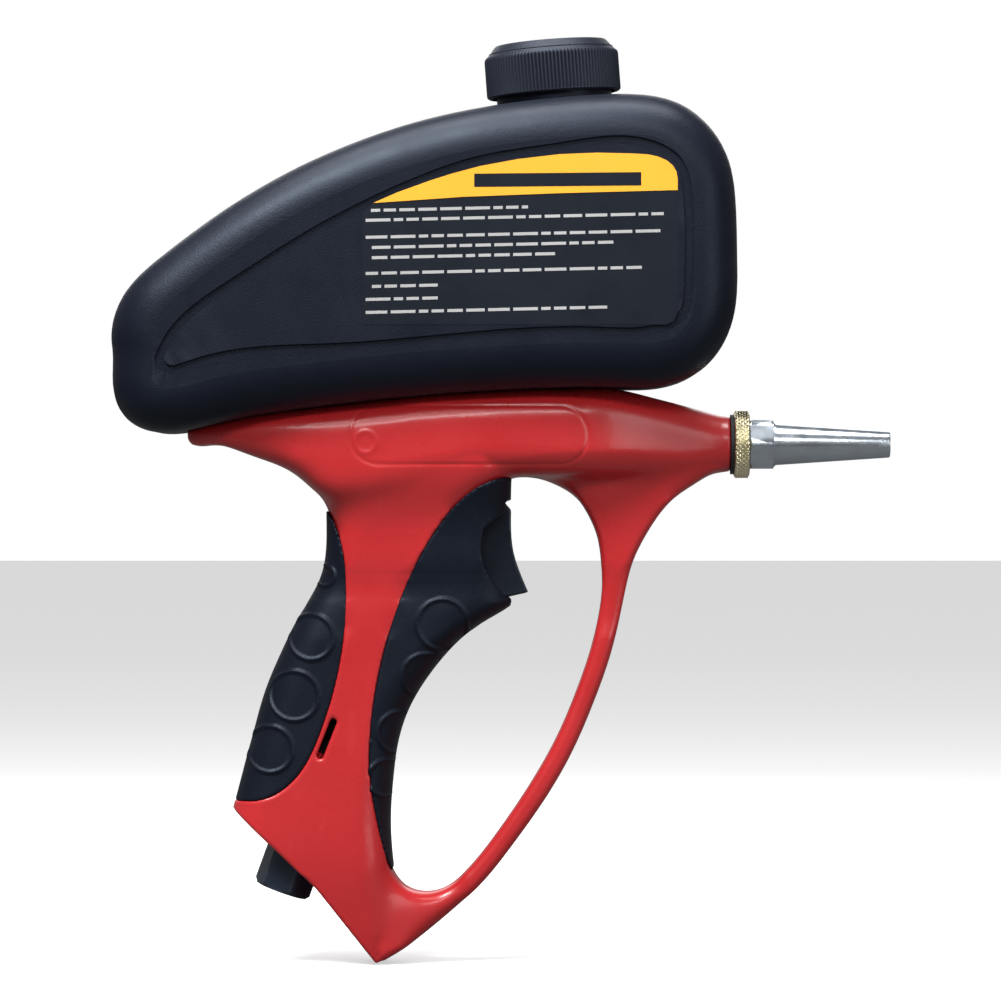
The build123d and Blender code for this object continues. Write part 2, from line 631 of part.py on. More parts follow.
def build_ceramic_nozzle():
    """Wear insert that runs the nozzle's whole length."""
    tip = x_cylinder(TIP_R, TIP_START, NOZZLE_TIP - TIP_SETBACK, NOZZLE_Z)
    tip += x_cylinder(TIP_FLANGE_R, TIP_START, TIP_START + TIP_FLANGE, NOZZLE_Z)
    funnel_base = Plane(origin=(TIP_START, 0, NOZZLE_Z), x_dir=(0, 1, 0), z_dir=(1, 0, 0))
    funnel_end = Plane(origin=(TIP_START + 6.0, 0, NOZZLE_Z), x_dir=(0, 1, 0), z_dir=(1, 0, 0))
    tip -= loft([funnel_base * Circle(TIP_FLANGE_R - 1.6), funnel_end * Circle(TIP_BORE)])
    return tip - x_cylinder(TIP_BORE, TIP_START - 1.0, NOZZLE_TIP + 1.0, NOZZLE_Z)


def build_lock_ring():
    """Brass ring with a knurled rim, shown as straight grooves."""
    start = BOSS_END + WASHER
    ring = x_cylinder(RING_R, start, start + RING_LENGTH, NOZZLE_Z)
    ring -= x_cylinder(SHANK_R + FIT, start - 1.0, start + RING_LENGTH + 1.0, NOZZLE_Z)
    step = 360.0 / RING_GROOVES
    groove = x_cylinder(0.4, start - 1.0, start + RING_LENGTH + 1.0, NOZZLE_Z + RING_R)
    centre = Axis((0, 0, NOZZLE_Z), (1, 0, 0))
    return ring - [groove.rotate(centre, step * index) for index in range(RING_GROOVES)]


def build_nozzle_washer():
    """Thin dark washer between the ring and the body."""
    disc = x_cylinder(WASHER_R, BOSS_END, BOSS_END + WASHER, NOZZLE_Z)
    return disc - x_cylinder(SHANK_R + FIT, BOSS_END - 1.0, BOSS_END + WASHER + 1.0, NOZZLE_Z)


# ---------------------------------------------------------------- trigger
def trigger_face():
    """Side view of the trigger."""
    front = Spline(*TRIGGER_FRONT)
    rest = Polyline(
        TRIGGER_FRONT[-1], (75.0, 97.3), (66.5, 98.0), (64.0, 106.0), (64.0, 129.0),
        (PIVOT[0], PIVOT[1] - 0.5), (72.2, 128.6), (74.0, 128.2), TRIGGER_FRONT[0],
    )
    return make_face(Curve() + [front, rest])


def build_trigger():
    """Trigger, hollow behind, with a pad that pushes the stem."""
    face = trigger_face()
    body = side_prism(face, TRIGGER_HALF)
    body += y_cylinder(TRIGGER_HUB_R, -TRIGGER_HALF, TRIGGER_HALF, *PIVOT)
    hollow = side_prism(polygon_face(TRIGGER_HOLLOW), TRIGGER_HALF - TRIGGER_SKIN)
    bottom, top, half = TRIGGER_PAD
    pad = side_prism(polygon_face([(64.0, bottom), (74.6, bottom), (74.6, top), (64.0, top)]), half)
    body = body - hollow + pad
    return body - y_cylinder(PIN_R + FIT, -TRIGGER_HALF - 1.0, TRIGGER_HALF + 1.0, *PIVOT)


def build_trigger_pin():
    """Steel pin held in both body halves."""
    return y_cylinder(PIN_R, -PIN_HALF, PIN_HALF, *PIVOT)


# ---------------------------------------------------------------- screws
def build_body_screws():
    """Socket-head screws that hold the two halves together; heads on the +y side."""
    screws = []
    for x, z in SCREWS:
        head = y_cylinder(SCREW_HEAD_R, SCREW_SEAT, SCREW_SEAT + SCREW_HEAD, x, z)
        shank = y_cylinder(SCREW_R, SCREW_END, SCREW_SEAT, x, z)
        plane = Plane(origin=(x, SCREW_SEAT + SCREW_HEAD, z), x_dir=(1, 0, 0), z_dir=(0, -1, 0))
        key_r = SCREW_SOCKET_FLATS / math.cos(math.pi / 6) / 2
        key = extrude(plane * RegularPolygon(key_r, 6), amount=SCREW_SOCKET)
        screws.append(head + shank - key)
    return Compound(children=screws)


# ---------------------------------------------------------------- grips and body halves
def build_grip(border, far_x):
    """Rubber skin over one side of the handle."""
    skin = handle_form() - handle_form(GRIP_SKIN)
    skin = skin & grip_region(border, far_x)
    return skin - side_prism(bay_face(), 60.0) - pocket_form()


def body_cavity():
    """Hollow inside the two halves."""
    handle = handle_form(GRIP_SKIN + SHELL_WALL)
    upper = upper_form(SHELL_WALL + 0.3, 2, 13)
    return handle + upper


def cradles():
    """Plates inside the halves that hold the tube, valve and chamber."""
    plates = []
    for distance in HANDLE_CRADLES:
        plates.append(extrude(handle_plane(distance) * Rectangle(60, 60), amount=CRADLE))
    for x in UPPER_CRADLES:
        plane = Plane(origin=(x, 0, 132.0), x_dir=(0, 1, 0), z_dir=(1, 0, 0))
        plates.append(extrude(plane * Rectangle(60, 70), amount=CRADLE))
    return plates


def internals():
    """Everything that the cradles and bosses must leave room for."""
    return [
        build_air_inlet_bushing(), handle_cylinder(AIR_TUBE_R, AIR_TUBE_START, AIR_TUBE_END),
        valve_envelope(), chamber_envelope(), y_cylinder(PIN_R, -PIN_HALF, PIN_HALF, *PIVOT),
    ]


def valve_envelope():
    """Solid outside of the valve and jet."""
    form = x_cylinder(VALVE_R, VALVE_START, VALVE_END, VALVE_Z)
    form += x_cylinder(PLUG_HEAD_R, VALVE_END, 64.0, VALVE_Z)
    form += z_cylinder(RISER_R, VALVE_Z, NOZZLE_Z, RISER_X)
    form += x_cylinder(TOP_TUBE_R, TOP_TUBE_START, CHAMBER_START + 1.0, NOZZLE_Z)
    return form + handle_cylinder(SOCKET_R, SOCKET_START, AIR_TUBE_END + 6.0)


def chamber_envelope():
    """Solid outside of the chamber, funnel, seal and spout."""
    form = x_cylinder(CHAMBER_R, CHAMBER_START, BOSS_END + 1.0, NOZZLE_Z)
    form += x_cylinder(SLEEVE_R, SLEEVE_START, BOSS_END + 1.0, NOZZLE_Z)
    form += z_cylinder(PORT_R, NOZZLE_Z, PORT_TOP, SPOUT_X)
    form += z_cylinder(FUNNEL_R, PORT_TOP, SPOUT_BOTTOM, SPOUT_X)
    return form + z_cylinder(SPOUT_FLANGE_R, SPOUT_BOTTOM, SPOUT_BOTTOM + 10.0, SPOUT_X)


def build_body(grips):
    """Both moulded halves in one solid, before the split."""
    outside = body_form()
    hollow = body_cavity()
    for plate in cradles():
        hollow -= plate
    for x, z in SCREWS:
        hollow -= y_cylinder(BOSS_R, -40.0, 40.0, x, z)
    hollow -= y_cylinder(TRIGGER_HUB_R, -40.0, -POCKET_HALF, *PIVOT)
    hollow -= y_cylinder(TRIGGER_HUB_R, POCKET_HALF, 40.0, *PIVOT)
    body = outside - hollow - pocket_form()
    for piece in internals() + grips:
        body -= piece
    for x, z in SCREWS:
        body -= y_cylinder(SCREW_R, SCREW_END, SCREW_SEAT, x, z)
        body -= y_cylinder(SCREW_HEAD_R, SCREW_SEAT, 40.0, x, z)
    return body - hang_slots()


def hang_slots():
    """Narrow slot in each side of the handle."""
    (top_x, top_z), (low_x, low_z) = HANG_SLOT
    length = math.hypot(top_x - low_x, top_z - low_z) + HANG_SLOT_WIDTH
    angle = math.degrees(math.atan2(top_z - low_z, top_x - low_x))
    outline = Rot(0, 0, angle) * Rectangle(length, HANG_SLOT_WIDTH)
    face = Pos((top_x + low_x) / 2, (top_z + low_z) / 2) * outline
    slot = side_prism(face, 30.0, HANG_SLOT_DEPTH - HANG_SLOT_FACE)
    return slot + mirror(slot, Plane.XZ)


def half_of(body, side):
    """Half of the body on one side of the split; side is -1 or +1."""
    box = Pos(50.0, side * 50.0, 100.0) * Box(400.0, 100.0, 400.0)
    return body & box


def largest_solid(shape):
    """Drop loose slivers and keep the main solid."""
    return max(shape.solids(), key=lambda solid: solid.volume)


# ---------------------------------------------------------------- assembly
def build_parts():
    """All named pieces, in the common frame."""
    rear_grip = build_grip(REAR_BORDER, -60.0)
    front_grip = build_grip(FRONT_BORDER, 100.0)
    body = build_body([rear_grip, front_grip])
    return {
        "body_shell_right": largest_solid(half_of(body, -1)),
        "body_shell_left": largest_solid(half_of(body, 1)),
        "rear_grip": largest_solid(rear_grip),
        "front_grip": largest_solid(front_grip),
        "hopper": build_hopper(),
        "hopper_cap": build_hopper_cap(),
        "cap_liner": build_cap_liner(),
        "label_right": build_label(-1),
        "label_left": build_label(1),
        "hopper_seal": build_hopper_seal(),
        "media_funnel": build_media_funnel(),
        "mixing_chamber": build_mixing_chamber(),
        "air_jet": build_air_jet(),
        "jet_o_ring": build_jet_o_ring(),
        "valve_body": build_valve_body(),
        "valve_seat": build_valve_seat(),
        "valve_stem": build_valve_stem(),
        "valve_spring": build_valve_spring(),
        "valve_plug": build_valve_plug(),
        "handle_air_tube": build_handle_air_tube(),
        "inlet_o_ring": build_inlet_o_ring(),
        "air_inlet_bushing": build_air_inlet_bushing(),
        "nozzle": build_nozzle(),
        "ceramic_nozzle": build_ceramic_nozzle(),
        "lock_ring": build_lock_ring(),
        "nozzle_washer": build_nozzle_washer(),
        "trigger": build_trigger(),
        "trigger_pin": build_trigger_pin(),
        "body_screws": build_body_screws(),
    }


os.makedirs("parts", exist_ok=True)
for name, shape in build_parts().items():
    export_step(shape, f"parts/{name}.step")
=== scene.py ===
import math

import bmesh
import bpy
import numpy as np
from mathutils import Matrix, Vector


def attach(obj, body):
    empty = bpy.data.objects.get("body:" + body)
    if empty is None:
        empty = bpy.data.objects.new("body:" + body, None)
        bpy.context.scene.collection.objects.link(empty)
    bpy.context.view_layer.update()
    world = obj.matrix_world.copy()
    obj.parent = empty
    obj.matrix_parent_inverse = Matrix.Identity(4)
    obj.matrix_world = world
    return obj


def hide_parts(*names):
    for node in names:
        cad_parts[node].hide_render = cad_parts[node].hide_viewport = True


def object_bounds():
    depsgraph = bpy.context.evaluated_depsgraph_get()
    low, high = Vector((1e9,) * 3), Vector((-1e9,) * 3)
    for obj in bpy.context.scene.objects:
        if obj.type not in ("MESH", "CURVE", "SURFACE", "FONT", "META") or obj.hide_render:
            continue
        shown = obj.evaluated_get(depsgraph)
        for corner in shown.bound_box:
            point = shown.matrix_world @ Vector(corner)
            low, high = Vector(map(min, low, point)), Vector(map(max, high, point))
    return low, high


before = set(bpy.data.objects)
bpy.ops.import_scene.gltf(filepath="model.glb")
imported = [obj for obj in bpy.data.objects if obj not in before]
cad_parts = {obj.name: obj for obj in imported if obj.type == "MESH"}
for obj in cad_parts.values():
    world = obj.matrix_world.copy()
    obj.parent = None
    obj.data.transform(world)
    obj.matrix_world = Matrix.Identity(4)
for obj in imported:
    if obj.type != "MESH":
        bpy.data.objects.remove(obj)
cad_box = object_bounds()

# Driving dimensions, metres, in the CAD frame: nozzle along +X at NOZZLE_Z, +Z up.
MM = 0.001
NOZZLE_Z = 147.5 * MM
HANDLE_LEAN = math.radians(20.0)
CAP_LEAN = math.radians(4.3)
CAP_FOOT = Vector((90.2 * MM, 0.0, 262.9 * MM))

BODY_VOXEL = 0.55 * MM
GRIP_VOXEL = 0.55 * MM
TRIGGER_VOXEL = 0.5 * MM
SEAM_GAP = 0.06 * MM

PANEL = dict(left=33.0 * MM, right=91.6 * MM, z=150.3 * MM, radius=9.5 * MM, depth=0.3 * MM, width=0.8 * MM)
GATE_MARK = dict(x=28.5 * MM, z=148.0 * MM, radius=3.5 * MM)

# Places in the side view where the moulded forms run into each other: x, z and reach along both, mm.
SOFT_SPOTS = [(20.0, 131.0, 24.0, 15.0), (50.0, 134.5, 24.0, 10.0), (106.0, 136.5, 46.0, 9.0),
              (44.0, -2.0, 20.0, 17.0)]
SCREW_SPOTS = [(31.0, 139.5), (117.0, 133.0), (25.0, 6.0)]
SOFT_ROUNDS = 160
# Trigger bay in the side view; the body's faces inside it get the trigger's dark material as painted shade.
BAY = dict(rear=63.0 * MM, front=84.5 * MM, low=94.0 * MM, high=126.0 * MM)
SEAM_ROUNDS = 80
BELT = dict(z=96.0 * MM, core=5.0 * MM, reach=13.0 * MM, rounds=140)    # where the handle's two forms join

RING_HEIGHT = 0.7 * MM
RING_LINE = 0.8 * MM
REAR_RINGS = [(14.9, 104.4, 3.4), (10.6, 84.3, 7.3), (5.0, 65.1, 8.0), (-3.0, 47.6, 7.5)]
FRONT_RINGS = [(53.5, 88.5, 8.2), (47.9, 71.4, 7.5), (39.3, 52.9, 7.0), (35.0, 38.0, 6.0)]

# Studio, metres: a floor wide enough to be seen from any side, and each light's place, size and watts.
FLOOR_HALF = 12.0
FLOOR_GAP = 0.4 * MM
FLOOR_LIT = (0.09, 0.09, 0.09)
FLOOR_SEEN = (0.62, 0.62, 0.62)
LIGHT_AIM = (0.06, 0.0, 0.14)
LIGHTS = [
    ("key", (-0.34, -0.70, 1.20), (0.55, 0.45), 27.0),
    ("strip", (0.12, -1.25, 0.82), (1.1, 0.14), 6.5),
    ("fill", (0.95, -0.80, 0.30), (0.5, 0.7), 2.5),
    ("top", (0.05, -0.05, 1.05), (0.9, 0.35), 12.0),
    ("rim", (0.05, 0.95, 0.60), (1.0, 0.5), 3.0),
]
CAMERA_NEAR = 0.01

CAP_R = 22.15 * MM
CAP_SIDE = 13.2 * MM
CAP_TOP = 17.19 * MM
CAP_RIBS = 112
CAP_RIB = 0.5 * MM
CAP_BORE = 20.5 * MM
NECK_R = 19.0 * MM
THREAD = 1.15 * MM

RING_R = 11.1 * MM
RING_START = 149.5 * MM
RING_END = 154.6 * MM
RING_KNURLS = 40
KNURL_DEPTH = 0.5 * MM
KNURL_PITCH = 1.7 * MM

HEX_FLATS = 16.0 * MM
HEX_START = 154.7 * MM
HEX_END = 162.6 * MM
NOZZLE_TIP = 201.1 * MM
SHANK_R = 6.4 * MM
SHANK_START = 136.0 * MM
BORE_R = 3.08 * MM

INLET_FLATS = 17.0 * MM
INLET_HEX = 18.0 * MM

INLET_TURN = math.radians(-12.0)

LABEL_Y = 38.0 * MM
LABEL_FILM = 0.12 * MM
LABEL_PRINT = 0.06 * MM
BAND_BOTTOM = [(31.3, 225.2), (60.3, 227.2), (91.6, 228.4), (129.8, 229.4)]
BAND_TOP = [(129.8, 233.0), (129.4, 235.4), (128.2, 237.4), (126.3, 239.0), (123.6, 240.2), (120.4, 240.9),
            (116.0, 241.2), (104.0, 241.5), (91.6, 241.0), (78.0, 239.4), (66.1, 237.2), (57.0, 234.8),
            (49.5, 232.4), (39.0, 228.6)]
FIELD = [(27.9, 185.9), (126.0, 185.9), (128.2, 186.8), (129.4, 188.6), (129.8, 191.0), (129.8, 229.0),
         (91.6, 228.0), (60.3, 226.8), (31.0, 224.9), (27.9, 222.1)]

# Rows of plain bars on the label: height, left end and right end, mm.
BAR_ROWS = [(222.8, 30.6, 81.4), (219.6, 28.9, 126.0), (214.1, 28.9, 126.4), (210.8, 30.9, 111.9),
            (207.5, 30.9, 90.1), (202.4, 28.9, 119.3), (198.2, 30.9, 55.2), (194.0, 28.9, 52.9),
            (189.8, 28.9, 108.7)]
BAR_RISE = math.tan(math.radians(1.3))
BAR_HALF = 0.48
BAR_GAP = 1.1
TITLE = [(64.0, 230.4), (118.0, 230.9), (118.0, 235.2), (64.0, 234.7)]

CAMERA_AIM = Vector((72.5 * MM, 0.0, 129.0 * MM))
CAMERA_DISTANCE = 1.8
VIEW_WIDTH = 330.7 * MM
SENSOR = 36.0


BLUE_SHEEN = (0.70, 0.82, 1.0)


# ---------------------------------------------------------------- materials
def new_material(name):
    """Empty node material with a Principled shader."""
    material = bpy.data.materials.new(name)
    material.use_nodes = True
    tree = material.node_tree
    shader = tree.nodes["Principled BSDF"]
    return material, tree, shader


def noise(tree, scale, detail=4.0, roughness=0.55, stretch=None):
    """Noise in object space."""
    coords = tree.nodes.new("ShaderNodeTexCoord")
    texture = tree.nodes.new("ShaderNodeTexNoise")
    texture.inputs["Scale"].default_value = scale
    texture.inputs["Detail"].default_value = detail
    texture.inputs["Roughness"].default_value = roughness
    if stretch:
        mapping = tree.nodes.new("ShaderNodeMapping")
        mapping.inputs["Scale"].default_value = stretch
        tree.links.new(coords.outputs["Object"], mapping.inputs["Vector"])
        tree.links.new(mapping.outputs["Vector"], texture.inputs["Vector"])
    else:
        tree.links.new(coords.outputs["Object"], texture.inputs["Vector"])
    return texture.outputs["Fac"]


def ramp(tree, value, low, high, out_low, out_high):
    """Maps a value between two limits to another pair."""
    node = tree.nodes.new("ShaderNodeMapRange")
    node.inputs["From Min"].default_value = low
    node.inputs["From Max"].default_value = high
    node.inputs["To Min"].default_value = out_low
    node.inputs["To Max"].default_value = out_high
    tree.links.new(value, node.inputs["Value"])
    return node.outputs["Result"]


def mix_colour(tree, factor, first, second):
    """Mixes two colours, each a tuple or a socket."""
    node = tree.nodes.new("ShaderNodeMix")
    node.data_type = "RGBA"
    tree.links.new(factor, node.inputs["Factor"])
    for socket, colour in ((node.inputs["A"], first), (node.inputs["B"], second)):
        if isinstance(colour, tuple):
            socket.default_value = (*colour, 1.0)
        else:
            tree.links.new(colour, socket)
    return node.outputs["Result"]


def edge_wear(tree, low, high):
    """0 on flat faces, 1 on convex edges."""
    geometry = tree.nodes.new("ShaderNodeNewGeometry")
    return ramp(tree, geometry.outputs["Pointiness"], low, high, 0.0, 1.0)


def finish_material(tree, shader, bumps):
    """Adds bump layers, each (value, strength, distance)."""
    previous = None
    for value, strength, distance in bumps:
        bump = tree.nodes.new("ShaderNodeBump")
        bump.inputs["Strength"].default_value = strength
        bump.inputs["Distance"].default_value = distance
        tree.links.new(value, bump.inputs["Height"])
        if previous:
            tree.links.new(previous, bump.inputs["Normal"])
        previous = bump.outputs["Normal"]
    if previous:
        tree.links.new(previous, shader.inputs["Normal"])


def moulded_plastic(name, base, dark, rough, grain, grain_scale,
                    coat=0.0, specular=0.5, worn=None, scuffed=None,
                    tint=(1.0, 1.0, 1.0)):
    """Moulded plastic with mottling, varied gloss, fine grain, and paler worn edges or faint scuffs."""
    material, tree, shader = new_material(name)
    mottled = mix_colour(tree, ramp(tree, noise(tree, 28.0), 0.35, 0.65, 0.0, 1.0), base, dark)
    if worn:
        mottled = mix_colour(tree, edge_wear(tree, 0.53, 0.62), mottled, worn)
    if scuffed:
        marks = noise(tree, 75.0, 8.0, 0.68, (1.0, 1.0, 0.35))
        mottled = mix_colour(tree, ramp(tree, marks, 0.60, 0.74, 0.0, 0.30), mottled, scuffed)
    tree.links.new(mottled, shader.inputs["Base Color"])
    smudges = ramp(tree, noise(tree, 60.0, 6.0, 0.7), 0.3, 0.7, rough[0], rough[1])
    tree.links.new(smudges, shader.inputs["Roughness"])
    shader.inputs["Specular IOR Level"].default_value = specular
    shader.inputs["Specular Tint"].default_value = (*tint, 1.0)
    shader.inputs["Coat Weight"].default_value = coat
    shader.inputs["Coat Roughness"].default_value = 0.06
    finish_material(tree, shader, [
        (noise(tree, 90.0, 2.0), 0.05, 0.0012),
        (noise(tree, grain_scale, 3.0), grain, 0.0003),
    ])
    return material


def metal(name, base, dark, rough, stretch, marks=0.25):
    """Machined metal with turning marks and stains."""
    material, tree, shader = new_material(name)
    stained = mix_colour(tree, ramp(tree, noise(tree, 120.0, 6.0, 0.65), 0.35, 0.7, 0.0, 1.0), base, dark)
    tree.links.new(stained, shader.inputs["Base Color"])
    shader.inputs["Metallic"].default_value = 1.0
    tree.links.new(ramp(tree, noise(tree, 200.0), 0.3, 0.7, *rough), shader.inputs["Roughness"])
    turned = noise(tree, 420.0, 4.0, 0.6, stretch)
    finish_material(tree, shader, [(turned, marks, 0.0001)])
    return material


def make_materials():
    """All materials, by short name."""
    return {
        "red": moulded_plastic("red_nylon", (0.50, 0.021, 0.024), (0.45, 0.016, 0.019),
                               (0.24, 0.34), 0.04, 900.0, coat=0.15, scuffed=(0.56, 0.05, 0.05)),
        "hopper": moulded_plastic("hopper_plastic", (0.0042, 0.0056, 0.0118), (0.0032, 0.0044, 0.0094),
                                  (0.38, 0.48), 0.22, 1500.0, specular=0.26, worn=(0.022, 0.025, 0.036),
                                  tint=BLUE_SHEEN),
        "cap": moulded_plastic("cap_plastic", (0.0075, 0.0085, 0.0150), (0.0055, 0.0064, 0.0115),
                               (0.44, 0.54), 0.15, 1800.0, specular=0.26,
                               worn=(0.045, 0.049, 0.062), tint=BLUE_SHEEN),
        "rubber": moulded_plastic("grip_rubber", (0.0036, 0.0052, 0.0108), (0.0028, 0.0040, 0.0086),
                                  (0.40, 0.52), 0.25, 2200.0, specular=0.27, scuffed=(0.013, 0.015, 0.021),
                                  tint=BLUE_SHEEN),
        "trigger": moulded_plastic("trigger_plastic", (0.0050, 0.0065, 0.0125), (0.0038, 0.0050, 0.0100),
                                   (0.25, 0.38), 0.1, 1600.0, scuffed=(0.02, 0.022, 0.03), tint=BLUE_SHEEN),
        "seal": moulded_plastic("seal_rubber", (0.012, 0.012, 0.012), (0.008, 0.008, 0.008), (0.5, 0.65), 0.2,
                                1500.0),
        "black_metal": moulded_plastic("black_oxide", (0.0070, 0.0125, 0.0260), (0.0050, 0.0090, 0.0190),
                                       (0.28, 0.40), 0.12, 1500.0, worn=(0.05, 0.06, 0.08), tint=BLUE_SHEEN),
        "steel": metal("zinc_steel", (0.56, 0.62, 0.68), (0.47, 0.52, 0.58), (0.18, 0.28),
                       (1.0, 0.1, 0.1), 0.18),
        "spring": metal("spring_steel", (0.5, 0.5, 0.5), (0.42, 0.42, 0.42), (0.25, 0.35), (1.0, 1.0, 1.0)),
        "brass": metal("brass", (0.86, 0.80, 0.58), (0.76, 0.69, 0.46), (0.24, 0.34),
                       (1.0, 0.15, 0.15), 0.08),
        "zinc": metal("zinc_casting", (0.55, 0.55, 0.56), (0.45, 0.45, 0.46), (0.38, 0.5), (1.0, 1.0, 1.0)),
        "ceramic": moulded_plastic("ceramic", (0.62, 0.60, 0.54), (0.55, 0.53, 0.47),
                                   (0.45, 0.6), 0.2, 1200.0),
        "nylon": moulded_plastic("tube_nylon", (0.05, 0.05, 0.055), (0.04, 0.04, 0.045),
                                 (0.35, 0.45), 0.1, 1500.0),
        "foam": moulded_plastic("liner_foam", (0.42, 0.42, 0.40), (0.36, 0.36, 0.34),
                                (0.7, 0.85), 0.5, 2500.0),
        "film_dark": moulded_plastic("film_dark", (0.0062, 0.0076, 0.0125), (0.005, 0.006, 0.010),
                                     (0.34, 0.42), 0.05, 900.0, specular=0.34, tint=BLUE_SHEEN),
        "film_yellow": moulded_plastic("film_yellow", (0.86, 0.415, 0.030), (0.82, 0.39, 0.027),
                                       (0.30, 0.40), 0.05, 900.0),
        "film_white": moulded_plastic("film_white", (0.42, 0.42, 0.42), (0.36, 0.36, 0.36),
                                      (0.35, 0.45), 0.05, 900.0),
    }


# ---------------------------------------------------------------- mesh helpers
def add_piece(name, mesh, material, body, nodes=()):
    """Puts a mesh in the scene, riding a body, with its finish and the nodes it stands for."""
    piece = bpy.data.objects.new(name, mesh)
    bpy.context.scene.collection.objects.link(piece)
    if material:
        mesh.materials.clear()
        mesh.materials.append(material)
    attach(piece, body)
    if nodes:
        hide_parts(*nodes)
    return piece


def grid_mesh(name, rings, closed=True, cap_ends=False):
    """Mesh through rings of points; each ring closes on itself, and so does the list if closed."""
    count = len(rings[0])
    points = [tuple(point) for ring in rings for point in ring]
    faces = []
    last = len(rings) if closed else len(rings) - 1
    for row in range(last):
        following = (row + 1) % len(rings)
        for column in range(count):
            right = (column + 1) % count
            faces.append((row * count + column, row * count + right, following * count + right,
                          following * count + column))
    if cap_ends:
        faces.append(tuple(range(count)))
        faces.append(tuple(range((len(rings) - 1) * count, len(rings) * count)))
    mesh = bpy.data.meshes.new(name)
    mesh.from_pydata(points, [], faces)
    mesh.update()
    fix_normals(mesh)
    return mesh


def fix_normals(mesh):
    """Outward normals and smooth shading with sharp creases kept."""
    work = bmesh.new()
    work.from_mesh(mesh)
    bmesh.ops.recalc_face_normals(work, faces=work.faces)
    work.to_mesh(mesh)
    work.free()
    mesh.shade_smooth()
    mesh.set_sharp_from_angle(angle=math.radians(38.0))


def lathe(name, stations, frame_matrix, steps):
    """Closed body of revolution; stations are (height, radius or function of angle)."""
    rings = []
    for height, radius in stations:
        ring = []
        for index in range(steps):
            angle = 2 * math.pi * index / steps
            reach = radius(angle) if callable(radius) else radius
            ring.append(frame_matrix @ Vector((reach * math.cos(angle), reach * math.sin(angle), height)))
        rings.append(ring)
    return grid_mesh(name, rings)


def axis_matrix(origin, axis):
    """Matrix whose local Z runs along an axis from an origin."""
    turn = Vector((0, 0, 1)).rotation_difference(Vector(axis)).to_matrix().to_4x4()
    return Matrix.Translation(origin) @ turn


def remeshed(node, voxel, rounds):
    """Fresh mesh over a CAD node with every edge softened."""
    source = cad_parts[node]
    copy = bpy.data.objects.new(node + "_work", source.data.copy())
    bpy.context.scene.collection.objects.link(copy)
    modifier = copy.modifiers.new("remesh", "REMESH")
    modifier.mode = "VOXEL"
    modifier.voxel_size = voxel
    graph = bpy.context.evaluated_depsgraph_get()
    mesh = bpy.data.meshes.new_from_object(copy.evaluated_get(graph))
    bpy.data.objects.remove(copy)
    points, edges = mesh_arrays(mesh)
    write_points(mesh, taubin(points, edges, rounds))
    mesh.shade_smooth()
    return mesh


def mesh_arrays(mesh):
    """Vertex positions and edges as arrays."""
    points = np.zeros(len(mesh.vertices) * 3)
    mesh.vertices.foreach_get("co", points)
    edges = np.zeros(len(mesh.edges) * 2, dtype=np.int64)
    mesh.edges.foreach_get("vertices", edges)
    return points.reshape(-1, 3), edges.reshape(-1, 2)


def mesh_normals(mesh):
    """Vertex normals as an array."""
    normals = np.zeros(len(mesh.vertices) * 3)
    mesh.vertex_normals.foreach_get("vector", normals)
    return normals.reshape(-1, 3)


def write_points(mesh, points):
    """Stores moved vertex positions."""
    mesh.vertices.foreach_set("co", points.astype(np.float32).ravel())
    mesh.update()


def neighbour_mean(points, edges, degree):
    """Mean of each vertex's neighbours."""
    count = len(points)
    total = np.zeros_like(points)
    for axis in range(3):
        total[:, axis] = np.bincount(edges[:, 0], points[edges[:, 1], axis], count)
        total[:, axis] += np.bincount(edges[:, 1], points[edges[:, 0], axis], count)
    return total / degree[:, None]


def taubin(points, edges, rounds, inward=0.6, outward=-0.61, weight=None):
    """Smooths a mesh without shrinking it; weight limits where."""
    degree = np.maximum(np.bincount(edges.ravel(), minlength=len(points)), 1)
    for _ in range(rounds):
        for factor in (inward, outward):
            step = factor * (neighbour_mean(points, edges, degree) - points)
            points = points + (step if weight is None else step * weight[:, None])
    return points


# ---------------------------------------------------------------- moulded body
def stadium_distance(points, left, right, z):
    """Distance in the side view from a level line."""
    x = np.clip(points[:, 0], left, right)
    return np.hypot(points[:, 0] - x, points[:, 2] - z)


def smooth_step(value, low, high):
    """0 below low, 1 above high, smooth between."""
    t = np.clip((value - low) / (high - low), 0.0, 1.0)
    return t * t * (3 - 2 * t)


def relax(points, edges, weight, rounds):
    """Strong smoothing of the vertices that a weight picks out."""
    near = (weight > 0.001)[edges].any(axis=1)
    used = np.unique(edges[near])
    index = np.full(len(points), -1)
    index[used] = np.arange(len(used))
    links = index[edges[near]]
    part = points[used]
    hold = 0.6 * weight[used][:, None]
    degree = np.maximum(np.bincount(links.ravel(), minlength=len(used)), 1)
    for _ in range(rounds):
        part = part + hold * (neighbour_mean(part, links, degree) - part)
    moved = points.copy()
    moved[used] = part
    return moved


def soft_weight(points, side):
    """1 where two moulded forms meet, 0 elsewhere and around the screw heads on the left half."""
    weight = np.zeros(len(points))
    for x, z, wide, high in SOFT_SPOTS:
        reach = np.hypot((points[:, 0] - x * MM) / (wide * MM), (points[:, 2] - z * MM) / (high * MM))
        weight = np.maximum(weight, 1.0 - smooth_step(reach, 0.55, 1.0))
    for x, z in SCREW_SPOTS if side > 0 else []:
        reach = np.hypot(points[:, 0] - x * MM, points[:, 2] - z * MM)
        weight *= smooth_step(reach, 4.5 * MM, 7.0 * MM)
    return weight


